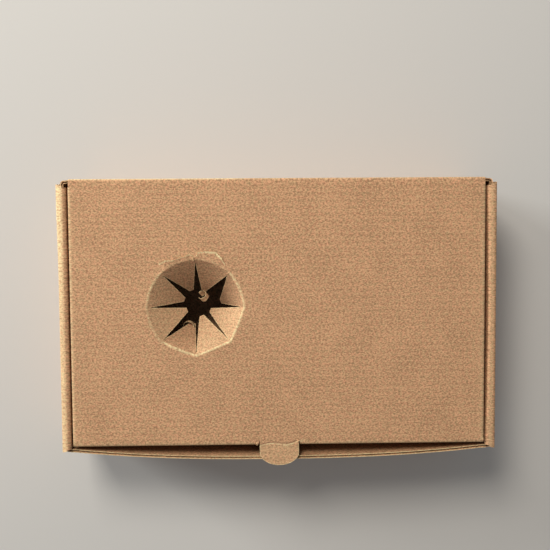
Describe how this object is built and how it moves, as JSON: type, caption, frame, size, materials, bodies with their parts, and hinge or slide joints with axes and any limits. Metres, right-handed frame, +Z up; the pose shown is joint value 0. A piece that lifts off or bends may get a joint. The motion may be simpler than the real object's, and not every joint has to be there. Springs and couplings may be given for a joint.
{
  "type": "side order box",
  "caption": "Small corrugated cardboard mailer box with double side walls, a hinged tuck-in lid, a thumb tab and a round star-cut opening for a dip pot.",
  "frame": {"origin": "middle of the closed box's bounding box, at the underside of the base", "axes": "+Z up from the base to the lid, +Y towards the lid's fold, -Y towards the thumb tab, +X to the right as seen from the front"},
  "size_m": [0.211, 0.1386, 0.05],
  "materials": {
    "kraft_board": "matt unbleached kraft facing with faint flute lines"
  },
  "bodies": {
    "tray_body": {"tray": "kraft_board"},
    "lid_body": {"lid": "kraft_board"}
  },
  "joints": [
    {"name": "lid_fold", "type": "hinge", "parent": "tray_body", "child": "lid_body", "pos_m": [0, 0.06876, 0.04951], "axis": [-1, 0, 0], "range_deg": [0, 180]}
  ]
}
